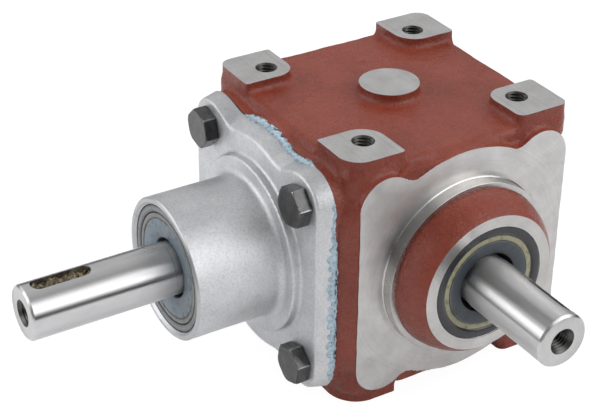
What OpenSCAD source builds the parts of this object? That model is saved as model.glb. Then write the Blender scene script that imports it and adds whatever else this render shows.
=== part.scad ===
// Right-angle bevel gearbox: a cast iron cube housing, an aluminium side cover with a long
// bearing nose, and two keyed shafts that a pair of mitre gears joins.
// The input shaft lies along X and leaves at -X, the output shaft lies along Y and leaves at -Y.
// Z is up. The origin is the centre of the four bottom pads, and both shaft axes cross above it.
// Places along a shaft are distances from that crossing, counted positive toward its free end.

/* [Housing] */
// Height of both shaft axes above the bottom pads
axis_height = 50; // [49:0.5:54]
// From the crossing to the machined front face
front_face = 48.9; // [48.5:0.1:50.5]
// From the crossing to the machined face that carries the side cover
joint_face = 50; // [49.4:0.1:51]
// From the crossing to the four cast walls, where the pads end too
wall_face = 45.7; // [45:0.1:46.5]
// From the crossing to the machined rear boss
rear_face = 48.9; // [48.2:0.1:50]
// Height of the cast top above the shaft axes, without its pads
cast_half_height = 46; // [45:0.25:47.5]
// Thickness of the top and bottom walls
top_wall = 10; // [7:0.5:10.5]
// Thickness of the side walls
side_wall = 7; // [6:0.25:9]
// Rounding of the cast corner between the front face and the cover
corner_r = 5.5; // [4:0.5:6.5]
// Rounding of the cast top and bottom edges
edge_r = 3; // [1.5:0.5:4]
// Radius of the round part of the machined faces' outline
lobe_r = 44.8; // [43.8:0.1:45.5]
// Radius of each screw ear
ear_r = 11; // [10:0.25:11.5]
// Rounding of the valley between an ear and the round part
valley_r = 7; // [5:0.5:9]
// From the crossing to the inner edges of the mounting pads
pad_inner = 24; // [22:0.25:27]
// Rounding of a pad's inner corner
pad_round = 9; // [6:0.5:10]
// How much less the outer corners of the rounded pads are rounded on top
top_corner_less = 1; // [0:0.25:2]
// How much more they are rounded at the bottom
low_corner_more = 3; // [1:0.25:4]
// Rounding of the larger side corner of a pad that keeps its outer corner
shield_side_r = 6; // [4:0.5:8]
// Rounding of the other side corner of such a pad
shield_far_r = 5; // [3:0.5:7]
// Distance between the pads' threaded holes
hole_pitch = 65; // [63:0.5:67]
// Major diameter of the pads' threads
pad_thread_d = 8; // [6:1:9]
// Depth of the pads' threaded holes
pad_thread_depth = 12; // [8:0.5:12.5]
// Diameter of the milled blank boss on the top
boss_d = 22; // [16:1:28]
// Wall of the rear boss round its bore
rear_boss_wall = 7; // [5:0.25:8]

/* [Output hub] */
// From the crossing to the machined end of the output hub
hub_end = 65.2; // [65:0.1:67]
// Radius of the machined pilot on the front face
pilot_r = 33.4; // [32.5:0.1:34.5]
// Width of the machined pilot
pilot_w = 5; // [4:0.25:6]
// Outer radius of the machined ring at the hub's end
hub_ring_r = 26.3; // [25:0.1:27.5]

/* [Side cover] */
// From the crossing to the end of the cover's nose
nose_end = 93.1; // [92.5:0.1:98]
// Outer radius of the nose
nose_r = 26.25; // [25.8:0.05:28]
// Thickness of the cover's flange
flange_t = 6.2; // [5:0.2:7]
// Outer radius of the raised collar at the nose's root
collar_r = 33.3; // [31.5:0.1:35]
// Height of the collar above the flange
collar_h = 3.2; // [2:0.1:4.5]
// Radius of the spigot that centres the cover in the housing
spigot_r = 35; // [34:0.25:36]
// Length of the spigot inside the housing
spigot_len = 12; // [9:0.5:12.5]
// Thickness of the sealant between cover and housing
sealant_t = 0.4; // [0.2:0.1:0.6]
// Distance between the cover bolts
bolt_pitch = 65; // [63:0.5:67]
// Thread diameter of the cover bolts
bolt_d = 8; // [6:1:8]
// Length of a cover bolt under its head
bolt_len = 20; // [16:1:22]
// Width of a bolt head across its flats
bolt_flats = 13; // [12:0.5:14]
// Height of a bolt head
bolt_head_h = 5.3; // [4:0.1:6]

/* [Shafts] */
// Diameter of both shafts
shaft_d = 20; // [19:0.25:20.5]
// Diameter of the output shaft between its front bearing and the gear
shoulder_d = 24; // [22.5:0.5:25]
// From the crossing to the free end of the input shaft
input_end = 146.3; // [135:0.5:160]
// From the crossing to the inner end of the input shaft
input_inner = 15.5; // [14.5:0.25:16]
// From the crossing to the free end of the output shaft
output_end = 105.3; // [98:0.5:120]
// Chamfer at the shaft ends
shaft_chamfer = 1; // [0.5:0.1:1.5]
// How far the shafts are ground down, on the radius, where the seals run
seal_track_depth = 0.25; // [0.2:0.05:0.4]
// Length of the outer keyways
keyway_len = 22; // [14:0.5:26]
// From a shaft's free end to its keyway
keyway_inset = 3.5; // [2:0.5:6]
// Turn of the output shaft's outer keyway, from the +X side toward the top
output_key_turn = 52; // [0:1:90]
// Width of the keys
key_w = 6; // [4:0.5:7]
// Height of the keys
key_h = 6; // [4:0.5:6.5]
// Depth of the keyways in the shafts
keyway_depth = 3.5; // [2:0.1:4]
// Thread diameter of the shafts' end holes
end_thread_d = 8; // [5:1:9]
// Depth of the shafts' end holes
end_thread_depth = 18; // [10:1:22]

/* [Mitre gears] */
// Teeth on each gear
teeth = 16; // [14:1:17]
// Module of the teeth at the heel
gear_module = 3; // [2.9:0.05:3.05]
// Length of the teeth along the pitch cone
tooth_face = 11; // [9:0.5:12]
// Pressure angle of the teeth
pressure_angle = 20; // [18:0.5:22]
// Free play between the flanks at the heel
backlash = 0.3; // [0.2:0.02:0.4]
// From the crossing to the back of each gear's hub
gear_back = 31; // [30:0.25:32]
// Outer radius of each gear's hub
gear_hub_r = 15.5; // [14.5:0.25:17]

/* [Bearings and seals] */
// Outer diameter of the input bearings and their seal
input_bearing_od = 47; // [46:0.25:48]
// Width of the input bearings
input_bearing_w = 14; // [12:0.25:14.5]
// Ball diameter of the input bearings
input_ball_d = 7.94; // [7:0.05:8.3]
// Balls in each input bearing
input_balls = 8; // [6:1:8]
// Distance between the two input bearings
bearing_span = 14; // [11:0.25:14.5]
// Wall of the two spacers on the input shaft
spacer_wall = 3.6; // [2.5:0.1:4]
// Outer diameter of the output bearings and their seal
output_bearing_od = 42; // [41:0.25:43]
// Width of the output bearings
output_bearing_w = 12; // [10:0.25:12.2]
// Ball diameter of the output bearings
output_ball_d = 6.35; // [5.5:0.05:6.7]
// Balls in each output bearing
output_balls = 9; // [7:1:9]
// Width of the two shaft seals
seal_w = 7; // [6:0.25:7.2]
// Wall of the stiff ring of a seal
seal_ring_wall = 2; // [1.5:0.1:2.5]
// From a seal's outer end to the back of its disc
seal_disc_back = 2.3; // [2.1:0.1:2.8]
// How far the disc of a seal stands out from its lip
seal_neck = 2.2; // [2:0.1:2.6]
// How far the seals lie inside their bores
seal_recess = 1; // [0.5:0.1:1.4]
// Thickness of the circlips in the bores
bore_clip_t = 1.75; // [1.25:0.05:2]
// Thickness of the circlips on the shafts
shaft_clip_t = 1.2; // [1:0.05:1.5]
// Depth of the circlip grooves
groove_depth = 1.1; // [0.6:0.05:1.3]
// Width of a circlip's ring
clip_ring_w = 3.2; // [2.6:0.1:3.6]
// Height of the lips that stop the output bearings
lip_h = 3; // [2:0.25:3.5]
// Width of those lips
lip_w = 2; // [1:0.25:3]

/* [Fits] */
// Gap all round where one piece is pressed or bolted on another
seat_gap = 0.02; // [0.01:0.005:0.04]
// Gap round the shafts at the seal lips
lip_gap = 0.06; // [0.04:0.01:0.1]
// Gap between the balls and their races
ball_gap = 0.09; // [0.08:0.01:0.12]
// Clearance of the bolts in the cover's holes
bolt_gap = 0.4; // [0.2:0.05:0.6]

/* [Hidden] */
$fn = 96;
shaft_r = shaft_d / 2;
shoulder_r = shoulder_d / 2;
seal_track_r = shaft_r - seal_track_depth;
in_bore_r = input_bearing_od / 2;
out_bore_r = output_bearing_od / 2;

// Cover and bolts, counted from the crossing toward -X
cover_face = joint_face + sealant_t;
flange_face = cover_face + flange_t;
spigot_end = joint_face - spigot_len;
hole_at = hole_pitch / 2;
bolt_at = bolt_pitch / 2;
bolt_r = bolt_d / 2;
bolt_turns = [12, 38, 4, 25];

// Input stack, counted from the crossing toward -X
in_seal_out = nose_end - seal_recess;
in_seal_in = in_seal_out - seal_w;
in_clip_in = in_seal_in - bore_clip_t;
in_outer_brg = in_clip_in - input_bearing_w;
in_inner_brg_end = in_outer_brg - bearing_span;
in_inner_brg = in_inner_brg_end - input_bearing_w;

// Output stack, counted from the crossing toward -Y
out_seal_out = hub_end - seal_recess;
out_seal_in = out_seal_out - seal_w;
out_clip_in = out_seal_in - bore_clip_t;
out_front_brg = out_clip_in - output_bearing_w;
rear_brg_end = gear_back + output_bearing_w;
rear_clip_end = rear_brg_end + bore_clip_t;
output_rear = rear_brg_end + shaft_clip_t + 1;
cap_out = rear_face - 0.8;
cap_plate = output_rear + 0.5;

// Cavity of the housing
cavity_half_z = cast_half_height - top_wall;
cavity_out = wall_face - side_wall;
cavity_round = 12;
cover_wall = 16;
rear_boss_r = out_bore_r + rear_boss_wall;

// Gears: the pitch cones stand at 45 degrees and meet at the crossing
cone = 45;
pitch_r = gear_module * teeth / 2;
cone_len = pitch_r / sin(cone);
addendum = gear_module;
dedendum = 1.25 * gear_module;
toe_scale = (cone_len - tooth_face) / cone_len;
virtual_r = pitch_r / cos(cone);
base_r = virtual_r * cos(pressure_angle);
root_heel = [pitch_r - dedendum * cos(cone), pitch_r / tan(cone) + dedendum * sin(cone)];
root_toe = root_heel * toe_scale;
gear_front = root_toe[1];
flank_steps = 6;
rim_root = 3;
key_top = shaft_r - keyway_depth + key_h;
spacer_r = shaft_r + spacer_wall;

// The keys lie inside the gears' hubs
key_low = gear_front + 1;
key_high = gear_back - 0.8;

// Colours of the bearing pieces
race_steel = [0.62, 0.63, 0.65];
ball_steel = [0.80, 0.81, 0.83];
cage_steel = [0.68, 0.60, 0.40];

// Frames: children are drawn with +Z along a shaft and its free end up

module input_axis() {
    translate([0, 0, axis_height]) rotate([0, -90, 0]) children();
}

module output_axis() {
    translate([0, 0, axis_height]) rotate([90, 0, 0]) children();
}

// Shapes that several pieces share

function arc(centre, r, from, to, steps = 8) = [
    for (i = [0:steps])
        let (turn = from + (to - from) * i / steps) centre + r * [cos(turn), sin(turn)]
];

module tube(outer, inner, low, high) {
    translate([0, 0, low]) difference() {
        cylinder(r = outer, h = high - low);
        translate([0, 0, -1]) cylinder(r = inner, h = high - low + 2);
    }
}

module rod(r, low, high) {
    translate([0, 0, low]) cylinder(r = r, h = high - low);
}

module four_corners(at) {
    for (x = [-1, 1], y = [-1, 1]) translate([x * at, y * at]) children();
}

// The four fillets that join the round top and bottom of an outline to its ears. Each is
// the corner between the three centres, less the circle that touches both curves.
module valleys(round_r, at, r, fillet) {
    span = at * sqrt(2);
    a = round_r + fillet;
    b = r + fillet;
    turn = acos((a * a + span * span - b * b) / (2 * a * span));
    for (x = [0, 1], y = [0, 1]) mirror([x, 0]) mirror([0, y]) {
        fillet_at = a * [cos(45 + turn), sin(45 + turn)];
        difference() {
            polygon([[0, 0], [at, at], fillet_at]);
            translate(fillet_at) circle(r = fillet - 0.01);
        }
    }
}

// Outline of a side face: a disc with four ears. Its two sides are straight, so they run
// from ear to ear, and its top and bottom show the lobes.
module lobed_outline(round_r, r, fillet, at) {
    intersection() {
        union() {
            circle(r = round_r);
            four_corners(at) circle(r = r);
            valleys(round_r, at, r, fillet);
            square([2 * (at + r), 2 * at], center = true);
        }
        square([2 * (at + r), 4 * round_r], center = true);
    }
}

module bolt_holes_2d(r, at) {
    four_corners(at) circle(r = r);
}

// Housing

module rounded_rectangle(low, high, r) {
    translate([low[0] + r, low[1]]) square([high[0] - low[0] - 2 * r, high[1] - low[1]]);
    translate([low[0], low[1] + r]) square([high[0] - low[0], high[1] - low[1] - 2 * r]);
    for (x = [low[0] + r, high[0] - r], y = [low[1] + r, high[1] - r]) translate([x, y]) circle(r = r);
}

// A block with rounded edges: three prisms, one along each axis, cut one another
module rounded_block(low, high, upright_r, level_r) {
    intersection() {
        translate([0, 0, low[2] - 1]) linear_extrude(high[2] - low[2] + 2)
            rounded_rectangle([low[0], low[1]], [high[0], high[1]], upright_r);
        translate([0, high[1] + 1, 0]) rotate([90, 0, 0]) linear_extrude(high[1] - low[1] + 2)
            rounded_rectangle([low[0], low[2]], [high[0], high[2]], level_r);
        translate([low[0] - 1, 0, 0]) rotate([90, 0, 90]) linear_extrude(high[0] - low[0] + 2)
            rounded_rectangle([low[1], low[2]], [high[1], high[2]], level_r);
    }
}

// The lobed rim that stands out of a cast wall and carries a machined face
module face_rim(face) {
    rotate([90, 0, 0]) translate([0, 0, wall_face - rim_root]) linear_extrude(face - wall_face + rim_root)
        lobed_outline(lobe_r, ear_r, valley_r, bolt_at);
}

// The cast corner between the two rims: an upright rounded edge whose ends roll over
// as far as the ears do. The roll is a prism across the corner.
module corner_post() {
    roll_r = ear_r + corner_r + 1.5;
    top = bolt_at + ear_r;
    out = (joint_face + front_face - 2 * corner_r) / sqrt(2) + corner_r;
    size = joint_face;
    intersection() {
        translate([0, 0, -top]) linear_extrude(2 * top)
            translate([-joint_face, -front_face]) rounded_rectangle([0, 0], [size, size], corner_r);
        rotate(225) translate([0, size, 0]) rotate([90, 0, 0]) linear_extrude(2 * size)
            rounded_rectangle([out - 2 * roll_r - 1, -top], [out, top], roll_r);
    }
}

// A pad between its inner edges and the cast walls, in the corner where X and Y are positive.
// The four radii go round it from its inner corner.
module pad_2d(rounds) {
    side = wall_face - pad_inner;
    translate([pad_inner + side / 2, pad_inner + side / 2]) difference() {
        square(side, center = true);
        for (i = [0:3]) rotate(90 * i) translate([-side / 2, -side / 2]) difference() {
            translate([-1, -1]) square(rounds[i] + 1);
            translate([rounds[i], rounds[i]]) circle(r = rounds[i]);
        }
    }
}

// Two pads are leaf shaped and the other two keep a sharp outer corner, as cast
module pads_2d(leaf_outer) {
    leaf = [pad_round, 1, leaf_outer, 1];
    shield = [pad_round, shield_side_r, 1.5, shield_far_r];
    for (turn = [0, 180]) rotate(turn) {
        pad_2d(leaf);
        rotate(90) pad_2d(shield);
    }
}

module pads() {
    root = edge_r + 2;
    translate([0, 0, cast_half_height - root]) linear_extrude(axis_height - cast_half_height + root)
        pads_2d(pad_round - top_corner_less);
    translate([0, 0, -axis_height]) linear_extrude(axis_height - cast_half_height + root)
        pads_2d(pad_round + low_corner_more);
}

// The pilot, the convex cast flank and the machined end ring of the output hub
module hub_profile() {
    pilot_end = front_face + pilot_w;
    drop = pilot_r - hub_ring_r;
    rise = hub_end - pilot_end;
    flank = [for (i = [0:8]) [hub_ring_r + drop * cos(i * 90 / 8) - 0.3 * sin(i * 90 / 8),
                             pilot_end + rise * sin(i * 90 / 8)]];
    polygon(concat([[0, wall_face], [pilot_r, wall_face]], flank, [[0, hub_end]]));
}

module casting() {
    rounded_block(
        [-wall_face, -wall_face, -cast_half_height], [wall_face, wall_face, cast_half_height],
        edge_r + 0.5, edge_r);
    face_rim(front_face);
    rotate(270) face_rim(joint_face);
    corner_post();
    pads();
    rod(boss_d / 2, cast_half_height - 1, axis_height);
    rotate([90, 0, 0]) rotate_extrude() hub_profile();
    rotate([90, 0, 0]) rod(rear_boss_r, -rear_face, -wall_face + 1);
}

module cavity() {
    difference() {
        rounded_block(
            [-joint_face + cover_wall, -cavity_out, -cavity_half_z],
            [cavity_out, cavity_out, cavity_half_z],
            cavity_round, cavity_round);
        rotate([90, 0, 0]) rod(rear_boss_r, -rear_face, -gear_back + lip_w);
        rotate([90, 0, 0]) rod(rear_boss_r, out_front_brg - lip_w, front_face);
    }
    rotate([0, -90, 0]) rod(spigot_r, joint_face - cover_wall - 2, joint_face + 1);
}

module output_bores() {
    rod(out_bore_r, out_front_brg, hub_end + 1);
    translate([0, 0, hub_end - seal_recess])
        cylinder(r1 = out_bore_r, r2 = out_bore_r + seal_recess + 0.1, h = seal_recess + 0.1);
    rod(out_bore_r + groove_depth, out_clip_in, out_seal_in);
    rod(out_bore_r - lip_h, -gear_back - 1, out_front_brg + 1);
    rod(out_bore_r, -rear_face - 1, -gear_back);
    rod(out_bore_r + groove_depth, -rear_clip_end, -rear_brg_end);
}

module pad_holes() {
    four_corners(hole_at) {
        rod(pad_thread_d / 2, axis_height - pad_thread_depth, axis_height + 1);
        rod(pad_thread_d / 2, -axis_height - 1, -axis_height + pad_thread_depth);
    }
}

module housing() {
    color([0.55, 0.23, 0.20]) translate([0, 0, axis_height]) difference() {
        casting();
        cavity();
        rotate([90, 0, 0]) output_bores();
        pad_holes();
        rotate([0, -90, 0]) translate([0, 0, flange_face - bolt_len - 2])
            linear_extrude(bolt_len + 2) bolt_holes_2d(bolt_r, bolt_at);
    }
}

// Side cover, its sealant and its bolts

module cover_body_profile() {
    fillet_r = 2.5;
    collar_top = flange_face + collar_h;
    ridge_r = nose_r + fillet_r;
    polygon(concat(
        [[0, spigot_end], [spigot_r - seat_gap - 0.8, spigot_end], [spigot_r - seat_gap, spigot_end + 0.8]],
        [[spigot_r - seat_gap, cover_face + 1], [collar_r + 1.2, cover_face + 1]],
        [[collar_r + 1.2, flange_face]],
        arc([collar_r + 1.2, flange_face + 1.2], 1.2, 270, 180, 4),
        arc([collar_r - 1.6, collar_top - 1.6], 1.6, 0, 90, 5),
        arc([ridge_r, collar_top + fillet_r], fillet_r, 270, 180, 6),
        [[nose_r, nose_end - 0.6], [nose_r - 0.6, nose_end], [0, nose_end]]));
}

// Round part of the flange, with its front edge well rounded
module flange_disc() {
    soft = 4;
    rotate_extrude() polygon(concat(
        [[0, cover_face], [lobe_r, cover_face]],
        arc([lobe_r - soft, flange_face - soft], soft, 0, 90, 6),
        [[0, flange_face]]));
}

module flange_ear() {
    soft = 2;
    rotate_extrude() polygon(concat(
        [[0, cover_face], [ear_r, cover_face]],
        arc([ear_r - soft, flange_face - soft], soft, 0, 90, 4),
        [[0, flange_face]]));
}

module flange() {
    soft = 2;
    side = bolt_at + ear_r;
    intersection() {
        union() {
            flange_disc();
            four_corners(bolt_at) flange_ear();
            translate([0, 0, cover_face]) linear_extrude(flange_t - soft)
                rotate(90) valleys(lobe_r, bolt_at, ear_r, valley_r);
            translate([-bolt_at, 0, 0]) rotate([90, 0, 90]) linear_extrude(2 * bolt_at) polygon(concat(
                [[-side, cover_face], [side, cover_face]],
                arc([side - soft, flange_face - soft], soft, 0, 90, 4),
                arc([soft - side, flange_face - soft], soft, 90, 180, 4)));
        }
        translate([0, 0, cover_face]) linear_extrude(flange_t)
            square([4 * lobe_r, 2 * side], center = true);
    }
}

module cover_bores() {
    rod(in_bore_r, in_outer_brg, nose_end + 1);
    translate([0, 0, nose_end - seal_recess])
        cylinder(r1 = in_bore_r, r2 = in_bore_r + seal_recess + 0.1, h = seal_recess + 0.1);
    rod(in_bore_r + groove_depth, in_clip_in, in_seal_in);
    rod(in_bore_r - lip_h, in_inner_brg_end - 1, in_outer_brg + 1);
    rod(in_bore_r, spigot_end - 1, in_inner_brg_end);
}

module side_cover() {
    color([0.74, 0.75, 0.77]) input_axis() difference() {
        union() {
            flange();
            rotate_extrude() cover_body_profile();
        }
        cover_bores();
        translate([0, 0, cover_face - 1]) linear_extrude(flange_t + 2)
            bolt_holes_2d(bolt_r + bolt_gap, bolt_at);
    }
}

module cover_sealant() {
    color([0.66, 0.77, 0.84]) input_axis()
        translate([0, 0, joint_face]) linear_extrude(sealant_t) difference() {
        rotate(90) lobed_outline(lobe_r, ear_r, valley_r, bolt_at);
        circle(r = spigot_r + seat_gap);
        bolt_holes_2d(bolt_r + bolt_gap, bolt_at);
    }
}

module hex_bolt() {
    head_r = bolt_flats / 2 / cos(30);
    rod(bolt_r - seat_gap, -bolt_len + 1, 0.1);
    translate([0, 0, -bolt_len]) cylinder(r1 = bolt_r - 1, r2 = bolt_r - seat_gap, h = 1);
    rod(bolt_flats / 2 - 0.3, 0, 0.4);
    intersection() {
        translate([0, 0, 0.3]) cylinder(r = head_r, h = bolt_head_h - 0.3, $fn = 6);
        rotate_extrude() polygon([[0, 0], [head_r, 0], [head_r, bolt_head_h - 0.8],
                                  [bolt_flats / 2 - 0.3, bolt_head_h], [0, bolt_head_h]]);
    }
}

module cover_bolts() {
    color([0.22, 0.22, 0.23]) input_axis() translate([0, 0, flange_face])
        for (i = [0:3]) rotate(45 + 90 * i) translate([bolt_at * sqrt(2), 0, 0])
            rotate(bolt_turns[i]) hex_bolt();
}

// Shafts and keys

// A slot with round ends, cut down from top to depth_from on the +X side
module keyway(depth_from, top, low, high) {
    rotate([0, 90, 0]) translate([0, 0, depth_from]) linear_extrude(top - depth_from) {
        translate([-high + key_w / 2, -key_w / 2]) square([high - low - key_w, key_w]);
        for (end = [low + key_w / 2, high - key_w / 2]) translate([-end, 0]) circle(d = key_w);
    }
}

module end_hole(end) {
    rod(end_thread_d / 2, end - end_thread_depth, end + 1);
    translate([0, 0, end - 0.5])
        cylinder(r1 = end_thread_d / 2, r2 = end_thread_d / 2 + 0.6, h = 0.6);
}

module shaft_groove(low, high) {
    tube(shaft_r + 1, shaft_r - groove_depth / 2, low, high);
}

// Profile of a shaft's free side, with the shallow ground track that its seal runs on
function free_side(track_from, track_to, end) = [
    [shaft_r, track_from], [seal_track_r, track_from + seal_track_depth],
    [seal_track_r, track_to - seal_track_depth], [shaft_r, track_to],
    [shaft_r, end - shaft_chamfer], [shaft_r - shaft_chamfer, end], [0, end]];

module input_shaft() {
    color([0.72, 0.72, 0.74]) input_axis() difference() {
        rotate_extrude() polygon(concat(
            [[0, input_inner], [shaft_r - shaft_chamfer, input_inner]],
            [[shaft_r, input_inner + shaft_chamfer]],
            free_side(in_seal_in, nose_end, input_end)));
        keyway(shaft_r - keyway_depth, shaft_r + 1,
               input_end - keyway_inset - keyway_len, input_end - keyway_inset);
        keyway(shaft_r - keyway_depth, shaft_r + 1, key_low, key_high);
        shaft_groove(gear_front - shaft_clip_t, gear_front);
        shaft_groove(in_clip_in, in_clip_in + shaft_clip_t);
        end_hole(input_end);
    }
}

module output_shaft() {
    color([0.72, 0.72, 0.74]) output_axis() difference() {
        rotate_extrude() polygon(concat(
            [[0, -output_rear], [shaft_r - shaft_chamfer, -output_rear]],
            [[shaft_r, shaft_chamfer - output_rear], [shaft_r, -gear_front]],
            [[shoulder_r, -gear_front], [shoulder_r, out_front_brg], [shaft_r, out_front_brg]],
            free_side(out_seal_in, hub_end, output_end)));
        rotate(output_key_turn)
            keyway(shaft_r - keyway_depth, shaft_r + 1,
                   output_end - keyway_inset - keyway_len, output_end - keyway_inset);
        rotate(90) keyway(shaft_r - keyway_depth, shaft_r + 1, -key_high, -key_low);
        shaft_groove(-rear_brg_end - shaft_clip_t, -rear_brg_end);
        end_hole(output_end);
    }
}

module gear_key() {
    keyway(shaft_r - keyway_depth + seat_gap, key_top, key_low + seat_gap, key_high - seat_gap);
}

module pinion_key() {
    color([0.55, 0.55, 0.57]) input_axis() fitted_key();
}

module crown_key() {
    color([0.55, 0.55, 0.57]) output_axis() mirror([0, 0, 1]) rotate(90) fitted_key();
}

module fitted_key() {
    intersection() {
        gear_key();
        translate([0, -key_w / 2 + seat_gap, 0]) cube([2 * shaft_r, key_w - 2 * seat_gap, 2 * gear_back]);
    }
}

// Mitre gears

function involute(angle) = tan(angle) * 180 / PI - angle;

// Half the tooth's angle at a distance from the centre of the equivalent spur gear
function half_tooth(r) =
    ((PI * gear_module - backlash) / 4 / virtual_r) * 180 / PI
    + involute(pressure_angle) - involute(acos(min(1, base_r / r)));

// A point of the tooth's outline, laid on the back cone: side is -1 or 1
function tooth_point(r, side, k) =
    let (turn = side * half_tooth(r) / cos(cone), out = pitch_r + (r - virtual_r) * cos(cone))
    k * [out * cos(turn), out * sin(turn), pitch_r / tan(cone) - (r - virtual_r) * sin(cone)];

module tooth() {
    low_r = virtual_r - dedendum - 0.4;
    high_r = virtual_r + addendum;
    radii = [for (i = [0:flank_steps]) low_r + (high_r - low_r) * i / flank_steps];
    count = 2 * len(radii);
    function outline(k) = concat(
        [for (r = radii) tooth_point(r, -1, k)],
        [for (i = [flank_steps:-1:0]) tooth_point(radii[i], 1, k)]);
    polyhedron(
        points = concat(outline(toe_scale), outline(1)),
        faces = concat(
            [[for (i = [0:count - 1]) i]],
            [[for (i = [count - 1:-1:0]) count + i]],
            [for (i = [0:count - 1]) [i, count + i, count + (i + 1) % count, (i + 1) % count]]));
}

module gear(phase) {
    web = root_heel[0] - 1.6;
    difference() {
        union() {
            rotate_extrude() polygon([
                [0, gear_front], root_toe, root_heel, [web, root_heel[1] + 1.6],
                [gear_hub_r, root_heel[1] + 1.6], [gear_hub_r, gear_back - 0.5],
                [gear_hub_r - 0.5, gear_back], [0, gear_back]]);
            for (i = [0:teeth - 1]) rotate(phase + i * 360 / teeth) tooth();
        }
        rod(shaft_r + seat_gap, 0, gear_back + 1);
        translate([0, -key_w / 2, gear_front - 1])
            cube([key_top + seat_gap, key_w, gear_back - gear_front + 2]);
    }
}

// The crown gear has a tooth on the mesh line, at -X, and the pinion has a gap there, at +Y
module pinion_gear() {
    color([0.50, 0.50, 0.52]) input_axis() gear(90 + 180 / teeth);
}

module crown_gear() {
    color([0.50, 0.50, 0.52]) output_axis() mirror([0, 0, 1]) rotate(90) gear(90);
}

// Spacers, circlips, seals and cap

module pinion_spacer() {
    color([0.60, 0.60, 0.62]) input_axis() tube(spacer_r, shaft_r + seat_gap, gear_back, in_inner_brg);
}

module bearing_spacer() {
    color([0.60, 0.60, 0.62]) input_axis()
        tube(spacer_r, shaft_r + seat_gap, in_inner_brg_end, in_outer_brg);
}

// A spring ring with an open gap between two drilled lugs
module circlip(outer, inner, thick, lug_at, lug_r) {
    gap = 24;
    linear_extrude(thick) difference() {
        union() {
            difference() {
                circle(r = outer);
                circle(r = inner);
                polygon([[0, 0], 2 * outer * [cos(gap / 2), sin(gap / 2)],
                         2 * outer * [cos(gap / 2), -sin(gap / 2)]]);
            }
            for (side = [-1, 1]) rotate(side * (gap / 2 + 5)) translate([lug_at, 0]) circle(r = lug_r);
        }
        for (side = [-1, 1]) rotate(side * (gap / 2 + 5)) translate([lug_at, 0]) circle(r = lug_r / 2);
    }
}

module bore_circlip(bore_r) {
    outer = bore_r + groove_depth - seat_gap;
    circlip(outer, outer - clip_ring_w, bore_clip_t, outer - clip_ring_w, 1.9);
}

module shaft_circlip() {
    inner = shaft_r - groove_depth / 2 + seat_gap;
    circlip(inner + clip_ring_w - 0.6, inner, shaft_clip_t, inner + clip_ring_w - 1.2, 1.6);
}

module input_bore_circlip() {
    color([0.30, 0.30, 0.31]) input_axis() translate([0, 0, in_clip_in]) bore_circlip(in_bore_r);
}

module front_bore_circlip() {
    color([0.30, 0.30, 0.31]) output_axis() translate([0, 0, out_clip_in]) bore_circlip(out_bore_r);
}

module rear_bore_circlip() {
    color([0.30, 0.30, 0.31]) output_axis() translate([0, 0, -rear_clip_end]) bore_circlip(out_bore_r);
}

module pinion_circlip() {
    color([0.30, 0.30, 0.31]) input_axis() translate([0, 0, gear_front - shaft_clip_t]) shaft_circlip();
}

module input_shaft_circlip() {
    color([0.30, 0.30, 0.31]) input_axis() translate([0, 0, in_clip_in]) shaft_circlip();
}

module rear_shaft_circlip() {
    color([0.30, 0.30, 0.31]) output_axis() translate([0, 0, -rear_brg_end - shaft_clip_t]) shaft_circlip();
}

// A rotary shaft seal: a stiff outer ring, a front wall with a stepped face, and a lip on the shaft
module shaft_seal(bore_r, out, inward) {
    outer = bore_r - seat_gap;
    span = outer - shaft_r;
    lip_r = seal_track_r + lip_gap;
    rotate_extrude() polygon([
        [outer - 0.5, out], [outer - 0.24 * span, out],
        [outer - 0.26 * span, out - 0.5], [outer - 0.5 * span, out - 0.5],
        [outer - 0.52 * span, out - 0.3], [outer - 0.84 * span, out - 0.3],
        [lip_r + 0.8, out - 0.1], [lip_r + 0.15, out - 0.3], [lip_r, out - 0.9], [lip_r + 0.6, out - 1.8],
        [lip_r, inward + 1.6], [lip_r + 0.5, inward + 0.7], [lip_r + 2, inward + 0.9],
        [lip_r + seal_neck, out - seal_disc_back], [outer - seal_ring_wall, out - seal_disc_back],
        [outer - seal_ring_wall, inward], [outer - 0.4, inward],
        [outer, inward + 0.4], [outer, out - 0.5]]);
}

module input_seal() {
    color([0.28, 0.33, 0.38]) input_axis() shaft_seal(in_bore_r, in_seal_out, in_seal_in);
}

module output_seal() {
    color([0.24, 0.25, 0.27]) output_axis() shaft_seal(out_bore_r, out_seal_out, out_seal_in);
}

module rear_cap() {
    outer = out_bore_r - seat_gap;
    color([0.20, 0.20, 0.21]) output_axis() rotate_extrude() polygon([
        [0, -cap_out], [outer - 0.8, -cap_out], [outer, -cap_out + 0.8], [outer, -rear_clip_end],
        [outer - 2, -rear_clip_end], [outer - 2, -cap_plate], [0, -cap_plate]]);
}

// Deep groove ball bearings. A bearing runs from low to low + w along its shaft.

function track_r(bore_r) = (bore_r + shaft_r) / 2;

module outer_race(bore_r, ball_d, w, low) {
    mid = low + w / 2;
    pitch = track_r(bore_r);
    shoulder = pitch + 0.31 * ball_d;
    difference() {
        rotate_extrude() polygon([
            [shoulder, low], [bore_r - seat_gap - 0.6, low], [bore_r - seat_gap, low + 0.6],
            [bore_r - seat_gap, low + w - 0.6], [bore_r - seat_gap - 0.6, low + w], [shoulder, low + w]]);
        rotate_extrude() translate([pitch, mid]) circle(r = ball_d / 2 + ball_gap);
    }
}

module inner_race(bore_r, ball_d, w, low) {
    mid = low + w / 2;
    pitch = track_r(bore_r);
    shoulder = pitch - 0.31 * ball_d;
    inner = shaft_r + seat_gap;
    difference() {
        rotate_extrude() polygon([
            [inner + 0.6, low], [shoulder, low], [shoulder, low + w],
            [inner + 0.6, low + w], [inner, low + w - 0.6], [inner, low + 0.6]]);
        rotate_extrude() translate([pitch, mid]) circle(r = ball_d / 2 + ball_gap);
    }
}

module balls(bore_r, ball_d, count, w, low) {
    for (i = [0:count - 1]) rotate(i * 360 / count)
        translate([track_r(bore_r), 0, low + w / 2]) sphere(d = ball_d, $fn = 32);
}

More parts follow.
